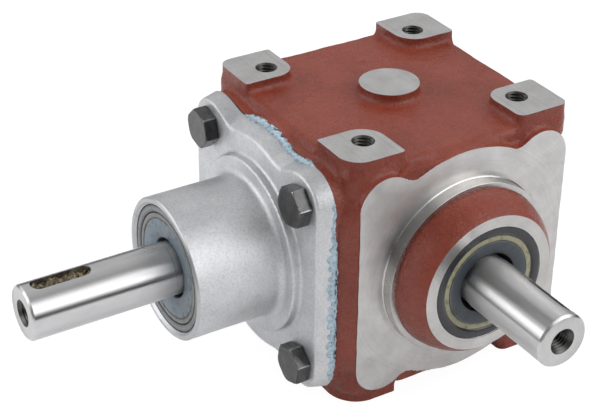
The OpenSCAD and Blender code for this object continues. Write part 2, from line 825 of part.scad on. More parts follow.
// The cage is a ring on the pitch circle with a round pocket for each ball
module cage(bore_r, ball_d, count, w, low) {
    pitch = track_r(bore_r);
    half = ball_d / 2 + 0.9;
    difference() {
        tube(pitch + 0.11 * ball_d, pitch - 0.11 * ball_d, low + w / 2 - half, low + w / 2 + half);
        for (i = [0:count - 1]) rotate(i * 360 / count)
            translate([pitch, 0, low + w / 2]) rotate([0, 90, 0])
                cylinder(d = ball_d + 2 * ball_gap, h = ball_d, center = true);
    }
}

module nose_bearing_outer_race() {
    color(race_steel) input_axis() outer_race(in_bore_r, input_ball_d, input_bearing_w, in_outer_brg);
}

module nose_bearing_inner_race() {
    color(race_steel) input_axis() inner_race(in_bore_r, input_ball_d, input_bearing_w, in_outer_brg);
}

module nose_bearing_balls() {
    color(ball_steel) input_axis()
        balls(in_bore_r, input_ball_d, input_balls, input_bearing_w, in_outer_brg);
}

module nose_bearing_cage() {
    color(cage_steel) input_axis() cage(in_bore_r, input_ball_d, input_balls, input_bearing_w, in_outer_brg);
}

module pinion_bearing_outer_race() {
    color(race_steel) input_axis() outer_race(in_bore_r, input_ball_d, input_bearing_w, in_inner_brg);
}

module pinion_bearing_inner_race() {
    color(race_steel) input_axis() inner_race(in_bore_r, input_ball_d, input_bearing_w, in_inner_brg);
}

module pinion_bearing_balls() {
    color(ball_steel) input_axis()
        balls(in_bore_r, input_ball_d, input_balls, input_bearing_w, in_inner_brg);
}

module pinion_bearing_cage() {
    color(cage_steel) input_axis() cage(in_bore_r, input_ball_d, input_balls, input_bearing_w, in_inner_brg);
}

module front_bearing_outer_race() {
    color(race_steel) output_axis() outer_race(out_bore_r, output_ball_d, output_bearing_w, out_front_brg);
}

module front_bearing_inner_race() {
    color(race_steel) output_axis() inner_race(out_bore_r, output_ball_d, output_bearing_w, out_front_brg);
}

module front_bearing_balls() {
    color(ball_steel) output_axis()
        balls(out_bore_r, output_ball_d, output_balls, output_bearing_w, out_front_brg);
}

module front_bearing_cage() {
    color(cage_steel) output_axis()
        cage(out_bore_r, output_ball_d, output_balls, output_bearing_w, out_front_brg);
}

module rear_bearing_outer_race() {
    color(race_steel) output_axis() outer_race(out_bore_r, output_ball_d, output_bearing_w, -rear_brg_end);
}

module rear_bearing_inner_race() {
    color(race_steel) output_axis() inner_race(out_bore_r, output_ball_d, output_bearing_w, -rear_brg_end);
}

module rear_bearing_balls() {
    color(ball_steel) output_axis()
        balls(out_bore_r, output_ball_d, output_balls, output_bearing_w, -rear_brg_end);
}

module rear_bearing_cage() {
    color(cage_steel) output_axis()
        cage(out_bore_r, output_ball_d, output_balls, output_bearing_w, -rear_brg_end);
}

housing();
side_cover();
cover_sealant();
cover_bolts();
rear_cap();
input_seal();
output_seal();
input_bore_circlip();
front_bore_circlip();
rear_bore_circlip();
input_shaft();
pinion_gear();
pinion_key();
pinion_circlip();
pinion_spacer();
bearing_spacer();
input_shaft_circlip();
output_shaft();
crown_gear();
crown_key();
rear_shaft_circlip();
nose_bearing_outer_race();
nose_bearing_inner_race();
nose_bearing_balls();
nose_bearing_cage();
pinion_bearing_outer_race();
pinion_bearing_inner_race();
pinion_bearing_balls();
pinion_bearing_cage();
front_bearing_outer_race();
front_bearing_inner_race();
front_bearing_balls();
front_bearing_cage();
rear_bearing_outer_race();
rear_bearing_inner_race();
rear_bearing_balls();
rear_bearing_cage();
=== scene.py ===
import math

import bmesh
import bpy
import numpy as np
from mathutils import Matrix, Vector


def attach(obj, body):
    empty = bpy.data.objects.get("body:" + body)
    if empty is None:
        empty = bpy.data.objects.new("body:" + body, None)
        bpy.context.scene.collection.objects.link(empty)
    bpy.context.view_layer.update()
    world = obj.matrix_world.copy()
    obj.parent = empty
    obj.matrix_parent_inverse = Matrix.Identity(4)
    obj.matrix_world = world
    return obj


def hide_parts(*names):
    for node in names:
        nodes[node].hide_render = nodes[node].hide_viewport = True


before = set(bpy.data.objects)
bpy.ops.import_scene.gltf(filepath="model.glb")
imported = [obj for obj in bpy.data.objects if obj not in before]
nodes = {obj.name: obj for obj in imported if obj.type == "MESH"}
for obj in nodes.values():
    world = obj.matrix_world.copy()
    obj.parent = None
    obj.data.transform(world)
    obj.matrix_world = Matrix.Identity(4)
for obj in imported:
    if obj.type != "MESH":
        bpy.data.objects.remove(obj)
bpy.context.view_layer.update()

# Camera
# The view is from the front left and well above, as a catalogue shows such a gearbox: both
# shafts, both seals and the top with its four pads are in sight.
# The shafts' height over the table, in metres
AXIS_Z = 0.05
view_az, view_el, view_roll = math.radians(-31.396), math.radians(30.993), math.radians(0.476)
behind = Vector((math.sin(view_az) * math.cos(view_el), -math.cos(view_az) * math.cos(view_el),
                 math.sin(view_el)))
level = Vector((math.cos(view_az), math.sin(view_az), 0))
upward = behind.cross(level)
across = level * math.cos(view_roll) + upward * math.sin(view_roll)
lift = upward * math.cos(view_roll) - level * math.sin(view_roll)
camera = bpy.data.objects.new("camera", bpy.data.cameras.new("camera"))
camera.data.lens = 97.03
camera.data.sensor_width = 36
camera.data.clip_start = 0.02
place = -0.031928 * across - 0.002729 * lift + 0.609249 * behind + Vector((0, 0, AXIS_Z))
stance = Matrix((across, lift, behind)).transposed().to_4x4()
camera.matrix_world = Matrix.Translation(place) @ stance
bpy.context.scene.collection.objects.link(camera)
bpy.context.scene.camera = camera

# Studio
# A small white table in a grey room whose walls are dark at table height. Soft light panels at
# the front right, the back left and the back right, and a dark gap behind, give ground steel its
# white and charcoal stripes. Three weak lamps stand overhead, in front and at the left.


def new_finish(name, metallic=0.0):
    """A new material, its node tree and its shader."""
    finish = bpy.data.materials.new(name)
    finish.use_nodes = True
    bsdf = finish.node_tree.nodes["Principled BSDF"]
    bsdf.inputs["Metallic"].default_value = metallic
    return finish, finish.node_tree, bsdf


def add(tree, kind, settings=None, **sockets):
    """A node with its settings and sockets. A socket takes another node's output or a value."""
    made = tree.nodes.new("ShaderNode" + kind)
    for key, value in (settings or {}).items():
        setattr(made, key, value)
    for key, value in sockets.items():
        socket = made.inputs[int(key[1:]) if key[1:].isdigit() else key.replace("_", " ")]
        if isinstance(value, bpy.types.NodeSocket):
            tree.links.new(value, socket)
        else:
            socket.default_value = value
    return made


def shades(tree, value, *stops):
    """Turns a value into colours: each stop is (value, red, green, blue) or (value, grey)."""
    ramp = add(tree, "ValToRGB", Fac=value)
    while len(ramp.color_ramp.elements) < len(stops):
        ramp.color_ramp.elements.new(0.5)
    for element, stop in zip(ramp.color_ramp.elements, stops):
        element.position = stop[0]
    for element, stop in zip(ramp.color_ramp.elements, stops):
        element.color = (*(stop[1:] if len(stop) == 4 else stop[1:] * 3), 1)
    return ramp.outputs["Color"]


def rise(tree, value, start, end):
    """Goes smoothly from 0 to 1 while the value goes from start to end."""
    down = start > end
    return add(tree, "MapRange", {"interpolation_type": "SMOOTHSTEP"}, Value=value,
               From_Min=min(start, end), From_Max=max(start, end),
               To_Min=float(down), To_Max=float(not down)).outputs[0]


def times(tree, a, b):
    return add(tree, "Math", {"operation": "MULTIPLY"}, _0=a, _1=b).outputs[0]


def plus(tree, a, b):
    return add(tree, "Math", {"operation": "ADD"}, _0=a, _1=b).outputs[0]


room = bpy.data.worlds.new("room")
bpy.context.scene.world = room
room.use_nodes = True
tree = room.node_tree
tree.nodes.clear()
direction = add(tree, "TexCoord").outputs["Generated"]
height = add(tree, "SeparateXYZ", Vector=direction).outputs["Z"]
halfway = add(tree, "MapRange", Value=height, From_Min=-1.0).outputs[0]
light = shades(tree, halfway, (0.0, 0.55), (0.415, 0.50), (0.455, 0.07), (0.535, 0.07),
               (0.60, 0.26), (0.80, 0.36), (1.0, 0.40))
compass = add(tree, "VectorMath", {"operation": "MULTIPLY"}, _0=direction, _1=(1, 1, 0)).outputs[0]
compass = add(tree, "VectorMath", {"operation": "NORMALIZE"}, _0=compass).outputs[0]
# Each panel's direction, and where its sides, foot and head fade in
for middle, sides, foot, head, strength in (
        ((0.57, -0.82, 0), (0.66, 0.90), (0.18, 0.36), (0.72, 0.90), 2.0),
        ((-0.80, 0.60, 0), (0.62, 0.84), (0.07, 0.22), (0.54, 0.70), 1.15),
        ((0.75, 0.66, 0), (0.56, 0.76), (0.12, 0.30), (0.86, 1.0), 0.42),
        ((0.0, 1.0, 0), (0.86, 0.97), (0.40, 0.52), (0.84, 0.96), -0.17)):
    toward = add(tree, "VectorMath", {"operation": "DOT_PRODUCT"}, _0=compass, _1=middle)
    width = rise(tree, toward.outputs["Value"], *sides)
    tall = times(tree, rise(tree, height, *foot), rise(tree, height, *head[::-1]))
    light = plus(tree, light, times(tree, times(tree, width, tall), strength))
lit = add(tree, "Background", Color=(1.0, 1.0, 1.015, 1), Strength=light)
blank = add(tree, "Background", Color=(1, 1, 1, 1), Strength=1.0)
path = add(tree, "LightPath")
seen = add(tree, "MixShader", Fac=path.outputs["Is Camera Ray"], _1=lit.outputs[0],
           _2=blank.outputs[0])
add(tree, "OutputWorld", Surface=seen.outputs[0])

for name, at, size, watts, in_metal in (
        ("lamp_overhead", (0.12, 0.10, 1.15), 0.6, 3.7, False),
        ("lamp_front", (0.55, -0.85, 0.38), 0.5, 1.2, True),
        ("lamp_left", (-0.80, 0.30, 0.27), 0.5, 1.5, True)):
    lamp = bpy.data.objects.new(name, bpy.data.lights.new(name, "AREA"))
    lamp.data.size = size
    lamp.data.energy = watts
    lamp.location = at
    aim = Vector((0, 0, AXIS_Z)) - lamp.location
    lamp.rotation_euler = aim.to_track_quat("-Z", "Y").to_euler()
    lamp.visible_glossy = in_metal
    bpy.context.scene.collection.objects.link(lamp)


def mesh_piece(name, points, faces, finishes=(), crisp=30.0):
    """An object of points in metres, smooth but for edges sharper than crisp degrees."""
    mesh = bpy.data.meshes.new(name)
    mesh.from_pydata([tuple(p) for p in points], [], [tuple(f) for f in faces])
    mesh.validate()
    piece = bpy.data.objects.new(name, mesh)
    bpy.context.scene.collection.objects.link(piece)
    for finish in finishes:
        mesh.materials.append(finish)
    mesh.polygons.foreach_set("use_smooth", [True] * len(mesh.polygons))
    mesh.set_sharp_from_angle(angle=math.radians(crisp))
    return piece


table_white, tree, bsdf = new_finish("table_white")
bsdf.inputs["Base Color"].default_value = (0.90, 0.90, 0.91, 1)
bsdf.inputs["Roughness"].default_value = 0.6
glow = add(tree, "Emission", Color=(1, 1, 1, 1), Strength=1.10)
path = add(tree, "LightPath")
share = plus(tree, times(tree, path.outputs["Is Camera Ray"], 0.86),
             times(tree, path.outputs["Is Glossy Ray"], 0.14))
paper = add(tree, "MixShader", Fac=share, _1=bsdf.outputs[0], _2=glow.outputs[0])
tree.links.new(paper.outputs[0], tree.nodes["Material Output"].inputs["Surface"])
TABLE_R = 0.46
turns = [i * math.pi / 48 for i in range(96)]
rim = [(TABLE_R * math.cos(t), TABLE_R * math.sin(t), 0) for t in turns]
table = mesh_piece("table", rim, [range(96)], [table_white])

# Housing
# A sand casting in grey iron, dipped in oxide red primer and then milled, bored and tapped to
# bare metal. It is made as one rounded form, in millimetres from the crossing of the two shafts,
# and then cut by the tools that machine it.

# Front face, joint face, cast walls, rear boss, and the cast top and bottom
FRONT, JOINT, WALL, REAR, HALF = 48.9, 50.0, 45.7, 48.9, 46.0
# Radii of the side faces' disc and ears, where the ears lie, and the valleys between the two
LOBE, EAR, EAR_AT = 44.8, 11.0, 32.5
FRONT_VALLEY, JOINT_VALLEY = 4.0, 11.0
SIDE = EAR_AT + EAR
# Inner edge and top of the pads, end of the hub, radius and foot of the pilot
PAD_IN, PAD_TOP = 24.0, 50.0
HUB_END, PILOT, PILOT_STEP = 65.2, 33.4, 53.85
# All holes lie in line with the ears, and each machined face loses the same stock
HOLES = (-EAR_AT, EAR_AT)
STOCK = 1.6


def round_union(a, b, r):
    u, v = np.maximum(r - a, 0), np.maximum(r - b, 0)
    return np.maximum(r, np.minimum(a, b)) - np.sqrt(u * u + v * v)


def rounded(parts, r):
    """The distance from a form that is the overlap of these, with its edges rounded by r."""
    inside = np.maximum.reduce([p + r for p in parts])
    outside = np.sqrt(sum(np.maximum(p + r, 0) ** 2 for p in parts))
    return np.minimum(inside, 0) + outside - r


def lobed(a, b, valley):
    """Outline of a machined side face: a disc with four ears, cut off level at both sides."""
    disc = np.hypot(a, b) - LOBE
    ears = np.hypot(np.abs(a) - EAR_AT, np.abs(b) - EAR_AT) - EAR
    bridge = np.maximum(np.abs(a) - SIDE, np.abs(b) - EAR_AT)
    return np.maximum(np.minimum(round_union(disc, ears, valley), bridge), np.abs(a) - SIDE)


def pad_outline(x, y, corners):
    """Outline of one pad in the corner where x and y are positive, with its own roundings."""
    middle, half = (PAD_IN + WALL) / 2, (WALL - PAD_IN) / 2
    u, v = x - middle, y - middle
    r = np.where(u < 0, np.where(v < 0, corners[0], corners[3]),
                 np.where(v < 0, corners[1], corners[2]))
    p, q = np.abs(u) - half + r, np.abs(v) - half + r
    return np.minimum(np.maximum(p, q), 0) + np.hypot(np.maximum(p, 0), np.maximum(q, 0)) - r


def pads(x, y, leaf_outer):
    """The four pads of one side. Roundings: inner corner, side, outer corner, side."""
    return np.minimum.reduce([
        pad_outline(x, y, (9.0, 1.0, leaf_outer - 2.5, 1.0)),
        pad_outline(-x, -y, (9.0, 0.8, leaf_outer, 1.0)),
        pad_outline(y, -x, (8.0, 1.0, 5.0, 0.8)),
        pad_outline(-y, x, (7.0, 3.2, 3.5, 1.6))])


def casting(x, y, z):
    """The rough casting, with STOCK left on each face that is machined."""
    flow = (0.11 * np.sin(x * 0.31 + 1.3 * np.sin(z * 0.17))
            * np.sin(y * 0.27 + 0.9 + np.sin(z * 0.23)))
    flow += (0.05 * np.sin(x * 0.83 + 2.1 * np.sin(y * 0.19))
             * np.sin(z * 0.71 + 1.7 * np.sin(x * 0.13 + y * 0.4)))
    flow *= np.clip((53 + y) / 4, 0.12, 1)
    body = rounded([rounded([np.abs(x) - WALL, np.abs(y) - WALL], 5.0), np.abs(z) - HALF], 3.2)
    for face, out, outline in ((FRONT, -y, lobed(x, z, FRONT_VALLEY)),
                               (JOINT, -x, lobed(y, z, JOINT_VALLEY) - 0.2)):
        rim = rounded([outline, out - face - STOCK, WALL - 6 - out], 0.7)
        body = round_union(body, rim, 1.8)
    out, r = -y, np.hypot(x, z)
    hub_top, hub_foot, hub_wide, hub_tall = 21.5, 51.6, 10.0, 15.7
    flank = (np.hypot(np.maximum(r - hub_top, 0) / hub_wide,
                      np.maximum(out - hub_foot, 0) / hub_tall) - 1) * hub_wide
    band = rounded([r - 34.6, out - 54.4], 0.2)
    body = round_union(body, np.maximum(np.minimum(flank, band), 30 - out), 1.2)
    rear_boss = np.maximum(r - 28.0, np.maximum(y - REAR - STOCK, 30 - y))
    body = round_union(body, rear_boss, 2.5)
    for side, leaf_outer in ((1, 8.0), (-1, 12.0)):
        pad = rounded([pads(x, y, leaf_outer), side * z - PAD_TOP - STOCK, 38 - side * z], 0.7)
        body = round_union(body, pad, 2.2)
    top_boss = rounded([np.hypot(x, y) - 11, z - PAD_TOP - STOCK, 38 - z], 0.7)
    body = round_union(body, top_boss, 2.2)
    lean = (-x - y) / math.sqrt(2)
    corner = rounded([-x - JOINT + 0.4, -y - FRONT + 0.4, x, y], 5.5)
    roll = rounded([lean - 65.6, np.abs(z) - SIDE], 17.0)
    body = np.minimum(body, np.maximum(corner, roll))
    room = rounded([x - 38.7, -x - 34.0, np.abs(y) - 38.7, np.abs(z) - 36.0], 10.0)
    short_of_boss = np.where(y > 0, np.maximum(29.0 - y, 0), np.maximum(41.4 + y, 0)) * 50
    room = np.maximum(room, 28.5 - (r + short_of_boss))
    spigot = np.maximum(np.hypot(y, z) - 35.02, 32.0 + x)
    return np.maximum.reduce([body + flow, x - WALL, -np.minimum(room, spigot)])


def net(field, low, high, step):
    """The surface where a field is zero: one point in each grid cell that it crosses, moved
    onto the surface, and one face round each grid edge that it crosses."""
    axes = [np.arange(low[i], high[i] + step, step, dtype=np.float32) for i in range(3)]
    inside = np.empty([len(a) for a in axes], bool)
    for i in range(0, len(axes[0]), 24):
        x, y, z = np.meshgrid(axes[0][i:i + 24], axes[1], axes[2], indexing="ij")
        inside[i:i + 24] = field(x, y, z) < 0
    count = sum(inside[i:i - 1 or None, j:j - 1 or None, k:k - 1 or None].astype(np.int8)
                for i in (0, 1) for j in (0, 1) for k in (0, 1))
    crossed = (count > 0) & (count < 8)
    index = np.full(crossed.shape, -1)
    index[crossed] = np.arange(crossed.sum())
    cells = np.argwhere(crossed)
    points = np.array([axes[i][0] + (cells[:, i] + 0.5) * step for i in range(3)])
    for _ in range(5):
        value = field(*points)
        slope = np.array([(field(*(points + e)) - field(*(points - e))) / 0.02
                          for e in 0.01 * np.eye(3)[:, :, None]])
        move = value * slope / np.maximum((slope ** 2).sum(0), 0.2)
        points = points - np.clip(move, -step, step) * 0.9
    faces = []
    for axis in range(3):
        first, second = np.moveaxis(inside, axis, 0)[:-1], np.moveaxis(inside, axis, 0)[1:]
        hit = np.argwhere((first != second)[:, 1:-1, 1:-1])
        hit[:, 1:] += 1
        leaves = first[tuple(hit.T)]
        cell = np.empty_like(hit)
        cell[:, axis] = hit[:, 0]
        u, v = [i for i in range(3) if i != axis]
        cell[:, u], cell[:, v] = hit[:, 1], hit[:, 2]
        ring = []
        for du, dv in ((0, 0), (-1, 0), (-1, -1), (0, -1)):
            corner = cell.copy()
            corner[:, u] += du
            corner[:, v] += dv
            ring.append(index[tuple(corner.T)])
        ring = np.array(ring).T
        forward = leaves if axis != 1 else ~leaves
        ring[~forward] = ring[~forward][:, ::-1]
        faces.append(ring)
    return points.T, np.concatenate(faces)


def from_crossing(points):
    return np.asarray(points, float) / 1000 + np.array((0, 0, AXIS_Z))


def lathe(profile, axis, segments=128):
    """Points and faces of a turned piece. The profile is (radius, distance) pairs in
    millimetres; the distance runs from the crossing toward -X for axis x and -Y for y. A
    closed profile makes a ring, and one that starts and ends on the axis makes a solid."""
    turns = np.arange(segments) * 2 * math.pi / segments
    points, faces, rings = [], [], []
    for r, h in profile:
        rings.append([len(points) + i for i in range(segments if r > 0 else 1)])
        for turn in turns if r > 0 else [0.0]:
            a, b = r * math.cos(turn), r * math.sin(turn)
            points.append((-h, a, b) if axis == "x" else (a, -h, b))
    whole = profile[0][0] > 0
    for one, two in zip(rings, rings[1:] + (rings[:1] if whole else [])):
        for i in range(segments):
            j = (i + 1) % segments
            face = [one[i % len(one)], one[j % len(one)], two[j % len(two)], two[i % len(two)]]
            face = list(dict.fromkeys(face))
            if len(face) > 2:
                faces.append(face if axis == "y" else face[::-1])
    return from_crossing(points), faces


def outward(piece):
    """Turns a closed piece's faces outward."""
    b = bmesh.new()
    b.from_mesh(piece.data)
    bmesh.ops.recalc_face_normals(b, faces=b.faces)
    if b.calc_volume(signed=True) < 0:
        bmesh.ops.reverse_faces(b, faces=b.faces)
    b.to_mesh(piece.data)
    b.free()
    return piece


def block(name, low, high, finish):
    """A square tool between two corners in millimetres from the crossing."""
    corners = [(x, y, z) for x in (low[0], high[0]) for y in (low[1], high[1])
               for z in (low[2], high[2])]
    sides = [(0, 1, 3, 2), (4, 6, 7, 5), (0, 4, 5, 1), (2, 3, 7, 6), (0, 2, 6, 4), (1, 5, 7, 3)]
    return outward(mesh_piece(name, from_crossing(corners), sides, [finish]))


def line_axes(start, end):
    """A line's two ends, its direction and two directions square to it."""
    start, end = Vector(start), Vector(end)
    way = (end - start).normalized()
    side = way.orthogonal().normalized()
    return start, end, way, side, way.cross(side)


def drill(name, start, end, finish, r, end_r=None):
    """A round tool between two points in millimetres from the crossing, or a cone."""
    segments = 48
    start, end, _, side, other = line_axes(start, end)
    points = []
    for centre, width in ((start, r), (end, end_r or r)):
        for i in range(segments):
            turn = 2 * math.pi * i / segments
            points.append(centre + width * (side * math.cos(turn) + other * math.sin(turn)))
    faces = [(i, (i + 1) % segments, segments + (i + 1) % segments, segments + i)
             for i in range(segments)]
    faces += [tuple(range(segments)), tuple(range(segments, 2 * segments))]
    return outward(mesh_piece(name, from_crossing(points), faces, [finish]))


def thread(start, end, r):
    """Points, in millimetres, and faces of a rod with an M8 screw thread of outer radius r."""
    pitch, segments, steps = 1.25, 36, 6
    start, end, way, side, other = line_axes(start, end)
    rows = int((end - start).length / pitch * steps)
    points = []
    for k in range(rows + 1):
        for i in range(segments):
            turn = 2 * math.pi * i / segments
            depth = 0.54 * pitch * abs(2 * ((k / steps - i / segments) % 1) - 1)
            points.append(start + way * (k * pitch / steps)
                          + (r - depth) * (side * math.cos(turn) + other * math.sin(turn)))
    faces = [(k * segments + i, k * segments + (i + 1) % segments,
              (k + 1) * segments + (i + 1) % segments, (k + 1) * segments + i)
             for k in range(rows) for i in range(segments)]
    faces += [tuple(range(segments)), tuple(range(rows * segments, (rows + 1) * segments))]
    return points, faces


def tap(name, start, end, finish, r=4.0):
    points, faces = thread(start, end, r)
    return outward(mesh_piece(name, from_crossing(points), faces, [finish]))


def cut(piece, tools):
    """Takes the tools off a piece. The new faces keep their tool's finish."""
    for tool in tools:
        step = piece.modifiers.new("cut", "BOOLEAN")
        step.operation = "DIFFERENCE"
        step.solver = "MANIFOLD"
        step.object = tool
        for finish in tool.data.materials:
            if finish.name not in piece.data.materials:
                piece.data.materials.append(finish)
    graph = bpy.context.evaluated_depsgraph_get()
    done = bpy.data.meshes.new_from_object(piece.evaluated_get(graph), depsgraph=graph)
    done.name = piece.name
    piece.modifiers.clear()
    piece.data = done
    done.polygons.foreach_set("use_smooth", [True] * len(done.polygons))
    done.set_sharp_from_angle(angle=math.radians(30.0))
    for tool in tools:
        bpy.data.objects.remove(tool)
    return piece


def noise(tree, scale, detail=2.0, rough=0.5, stretch=(1, 1, 1)):
    """A noise with about 1 / scale metres to a lump, drawn out along the axes by stretch."""
    vector = add(tree, "TexCoord").outputs["Object"]
    if stretch != (1, 1, 1):
        vector = add(tree, "Mapping", Vector=vector, Scale=stretch).outputs[0]
    lumps = add(tree, "TexNoise", Vector=vector, Scale=scale, Detail=detail, Roughness=rough)
    return lumps.outputs["Fac"]


def mixed(tree, share, a, b, kind="MIX"):
    """Two colours mixed, or multiplied, by a share."""
    blend = add(tree, "Mix", {"data_type": "RGBA", "blend_type": kind}, _0=share, _6=a, _7=b)
    return blend.outputs[2]


def relief(tree, height, depth, under=None):
    sockets = {"Height": height, "Distance": depth, "Strength": 1.0}
    if under:
        sockets["Normal"] = under
    return add(tree, "Bump", **sockets).outputs[0]


def off_axis(tree, axis):
    """Distance from the input shaft's axis (x) or the output shaft's (y), in metres."""
    here = add(tree, "TexCoord").outputs["Object"]
    shifted = add(tree, "VectorMath", {"operation": "SUBTRACT"}, _0=here, _1=(0, 0, AXIS_Z))
    keep = (0, 1, 1) if axis == "x" else (1, 0, 1)
    flat = add(tree, "VectorMath", {"operation": "MULTIPLY"}, _0=shifted.outputs[0], _1=keep)
    return add(tree, "VectorMath", {"operation": "LENGTH"}, _0=flat.outputs[0]).outputs["Value"]


def rings_of(tree, distance, scale):
    """Fine lines that run round an axis, as a turning tool leaves them."""
    return add(tree, "TexNoise", {"noise_dimensions": "1D"}, W=distance, Scale=scale, Detail=3.0,
               Roughness=0.7).outputs["Fac"]


def dress(tree, bsdf, colour, roughness, normal):
    """Joins a finish's colour, roughness and relief to its shader."""
    for name, output in (("Base Color", colour), ("Roughness", roughness), ("Normal", normal)):
        tree.links.new(output, bsdf.inputs[name])


oxide_red, tree, bsdf = new_finish("oxide_red_paint")
blotch = noise(tree, 45, 4, 0.6)
grain = noise(tree, 1700, 3, 0.6)
sand = noise(tree, 520, 3, 0.6)
runs = noise(tree, 170, 3, 0.5)
tone = shades(tree, blotch, (0.30, 0.195, 0.035, 0.018), (0.52, 0.238, 0.046, 0.026),
              (0.78, 0.278, 0.059, 0.035))
speckle = shades(tree, grain, (0.34, 0.72), (0.50, 0.96), (0.66, 1.0))
dress(tree, bsdf, mixed(tree, 1.0, tone, speckle, "MULTIPLY"),
      shades(tree, runs, (0.30, 0.21), (0.70, 0.33)),
      relief(tree, grain, 0.00022, relief(tree, sand, 0.00028, relief(tree, runs, 0.0008))))
bsdf.inputs["Specular IOR Level"].default_value = 0.38


def turned(name, axis, dark, light, rough, depth=0.00003, scale=2400):
    """Bare metal with the rings that a cutting tool leaves round one of the two axes."""
    finish, tree, bsdf = new_finish(name, 1.0)
    lines = rings_of(tree, off_axis(tree, axis), scale)
    cloud = noise(tree, 120, 5, 0.62)
    tone = shades(tree, cloud, (0.28, *dark), (0.72, *light))
    stain = rise(tree, noise(tree, 210, 4, 0.65), 0.60, 0.76)
    tone = mixed(tree, times(tree, stain, 0.4), tone, (0.30, 0.275, 0.225, 1))
    tone = mixed(tree, 1.0, tone, shades(tree, lines, (0.30, 0.88), (0.65, 1.0)), "MULTIPLY")
    dress(tree, bsdf, tone, shades(tree, cloud, (0.25, rough[0]), (0.75, rough[1])),
          relief(tree, lines, depth, relief(tree, noise(tree, 900, 3), 0.00003)))
    return finish


milled_iron = turned("milled_iron", "y", (0.50, 0.490, 0.475), (0.67, 0.664, 0.654),
                     (0.30, 0.42), 0.00002, 1600)
turned_iron = turned("turned_iron", "y", (0.46, 0.448, 0.430), (0.60, 0.590, 0.572),
                     (0.20, 0.30), 0.00001)
# Threads and countersunk mouths of all tapped holes are painted near-black: painted shade for the
# inside of the holes
tapped = turned("thread_painted_shade", "y", (0.05, 0.049, 0.047), (0.12, 0.118, 0.112), (0.30, 0.42))

points, faces = net(casting, (-53.5, -69.0, -53.5), (48.5, 52.5, 53.5), 0.8)
housing = outward(mesh_piece("cast_housing", from_crossing(points), faces, [oxide_red]))
BIG = 80.0
machining = [
    block("pads_top", (-BIG, -BIG, PAD_TOP), (BIG, BIG, BIG), milled_iron),
    block("pads_bottom", (-BIG, -BIG, -BIG), (BIG, BIG, -PAD_TOP), milled_iron),
    block("joint_face", (-BIG, -BIG, -BIG), (-JOINT, BIG, BIG), milled_iron),
    block("rear_face", (-BIG, REAR, -BIG), (BIG, BIG, BIG), milled_iron),
    block("hub_face", (-BIG, -BIG, -BIG), (BIG, -HUB_END, BIG), turned_iron),
]
around = [(PILOT + 0.4, FRONT), (BIG * 1.3, FRONT), (BIG * 1.3, 56), (31.2, 56),
          (31.5, PILOT_STEP), (PILOT - 0.1, PILOT_STEP), (PILOT, PILOT_STEP - 0.1),
          (PILOT, FRONT + 0.35)]
front = outward(mesh_piece("front_face", *lathe(around, "y", 256),
                           [milled_iron, turned_iron, oxide_red]))
# Painted at the root of the hub's flank, turned on the pilot, milled on the face round it
for face in front.data.polygons:
    r = math.hypot(face.center[0], face.center[2] - AXIS_Z)
    face.material_index = 2 if r < 0.032 else 1 if r < 0.036 else 0
machining.append(front)
BEARING_BORE, SHOULDER, GROOVE = 21, 18, 22.1
bore = [(0, -60), (BEARING_BORE, -60), (BEARING_BORE, -44.75), (GROOVE, -44.75), (GROOVE, -43),
        (BEARING_BORE, -43), (BEARING_BORE, -31), (SHOULDER, -31), (SHOULDER, 43.45),
        (BEARING_BORE, 43.45), (BEARING_BORE, 55.45), (GROOVE, 55.45), (GROOVE, 57.2),
        (BEARING_BORE, 57.2), (BEARING_BORE, 63.9), (22.2, 64.9), (22.2, 75), (0, 75)]
machining.append(outward(mesh_piece("output_bores", *lathe(bore, "y", 192), [turned_iron])))
for a in HOLES:
    for b in HOLES:
        for up in (-1, 1):
            machining.append(tap("pad_thread", (a, b, up * 38), (a, b, up * 52), tapped))
            machining.append(drill("pad_mouth", (a, b, up * 49.1), (a, b, up * 50.4), tapped,
                                   3.2, 4.45))
        machining.append(drill("bolt_hole", (-34.6, a, b), (-54, a, b), tapped, 4.0))
cut(housing, machining)
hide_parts("housing")
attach(housing, "housing_body")

# Side cover
# The cover is a gravity casting in aluminium, shot-blasted and left bare: a lobed flange, a low
# collar and the long nose that holds both input bearings. Its joint, spigot, bores and the end
# of the nose are turned.
COVER, FLANGE, COLLAR, COLLAR_END, NOSE, NOSE_END = 50.4, 56.6, 33.0, 59.8, 26.25, 93.1
COVER_DRAFT = 0.26


def cover_form(x, y, z):
    h = -x
    flow = (0.045 * np.sin(y * 0.37 + 1.1 * np.sin(z * 0.21))
            * np.sin(z * 0.33 + 0.7 + np.sin(h * 0.25)))
    on_lobe = np.clip((np.abs(z) - np.abs(y) + 4) / 8, 0, 1)
    on_lobe *= np.clip((np.hypot(np.abs(y) - EAR_AT, np.abs(z) - EAR_AT) - EAR) / 5, 0, 1)
    draft = np.maximum(h - COVER, 0) * (COVER_DRAFT + 0.34 * on_lobe) - 0.6 + 0.7 * on_lobe
    flange = rounded([lobed(y, z, JOINT_VALLEY) + draft, h - FLANGE], 0.8)
    r = np.hypot(y, z)
    collar = rounded([r - COLLAR, h - COLLAR_END], 0.8)
    form = round_union(flange, collar, 1.2)
    form = round_union(form, np.maximum(r - NOSE, h - NOSE_END - 1.2), 2.4)
    return np.maximum(form + flow, 37.4 - h)


